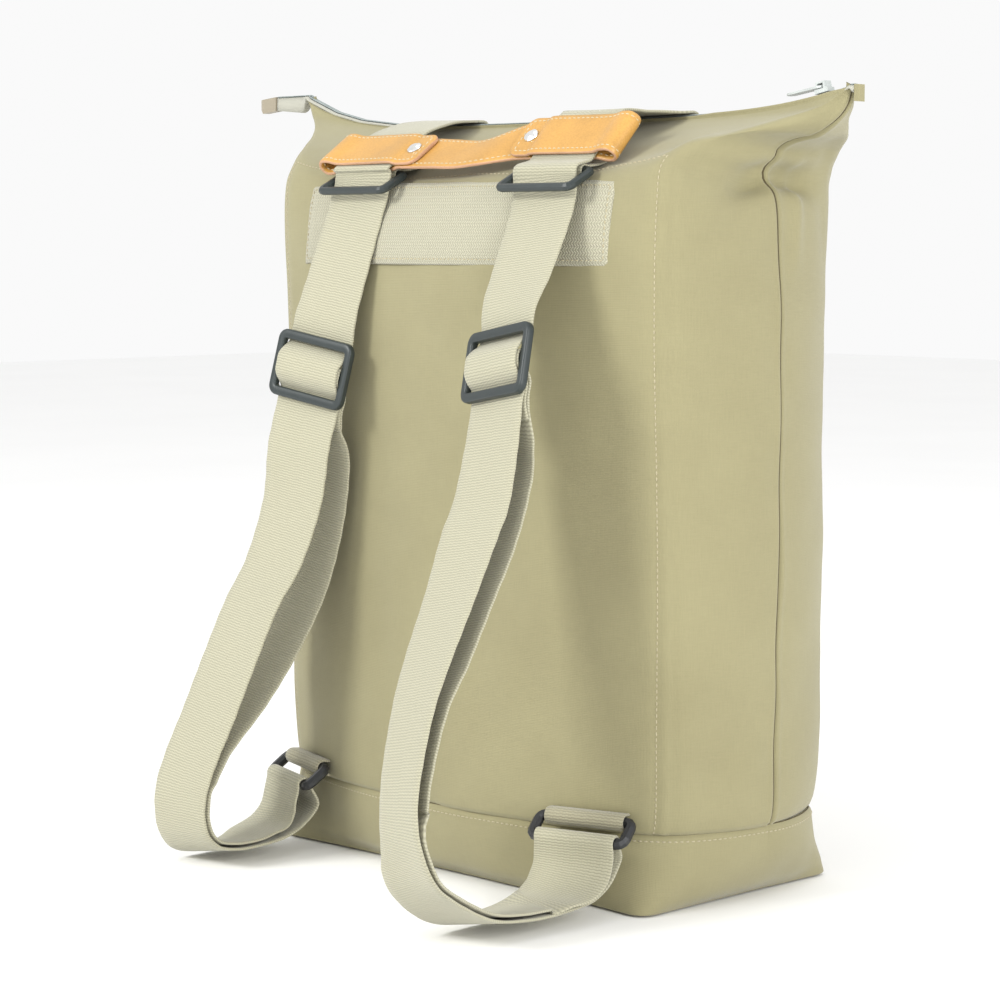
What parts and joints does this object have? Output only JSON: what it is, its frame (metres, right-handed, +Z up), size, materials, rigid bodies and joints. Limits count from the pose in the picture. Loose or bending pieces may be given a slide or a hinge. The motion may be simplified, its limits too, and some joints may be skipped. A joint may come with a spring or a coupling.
{
  "type": "convertible backpack",
  "caption": "Stuffed canvas backpack standing on its base, with a zip top, looped webbing shoulder straps and a leather handle.",
  "frame": {"origin": "on the floor below the middle of the bag", "axes": "+Z up, +X to the wearer's right along the zip, the straps hang on the -Y side"},
  "size_m": [0.5131, 0.3431, 0.4759],
  "materials": {
    "canvas": "matte heavy cotton canvas, khaki",
    "band_webbing": "matte cotton webbing, beige",
    "strap_webbing": "matte cotton webbing, cream",
    "zip_tape": "matte woven tape, off-white",
    "zip_coil": "satin coil, pale grey",
    "zip_metal": "satin lacquer, pale grey",
    "zip_end": "matte folded tape, beige",
    "grey_plastic": "satin moulded plastic, dark grey",
    "black_plastic": "satin moulded plastic, near black",
    "leather": "smooth vegetable-tanned leather, light tan",
    "rivet_steel": "polished domed cap"
  },
  "bodies": {
    "root": {"base": "canvas", "body_back": "canvas", "body_front": "canvas", "wide_band": "band_webbing", "zip_tape": "zip_tape", "zip_coil": "zip_coil", "zip_slider": "zip_metal", "zip_pull": "zip_metal", "zip_end_left": "zip_end", "zip_end_right": "zip_end", "strap_left": "strap_webbing", "strap_right": "strap_webbing", "slider_left": "grey_plastic", "slider_right": "grey_plastic", "ring_upper_left": "grey_plastic", "ring_upper_right": "grey_plastic", "ring_tab_upper_left": "strap_webbing", "ring_tab_upper_right": "strap_webbing", "ring_lower_left": "black_plastic", "ring_lower_right": "black_plastic", "ring_tab_lower_left": "band_webbing", "ring_tab_lower_right": "band_webbing", "handle": "leather", "rivet_left": "rivet_steel", "rivet_right": "rivet_steel"}
  },
  "joints": []
}
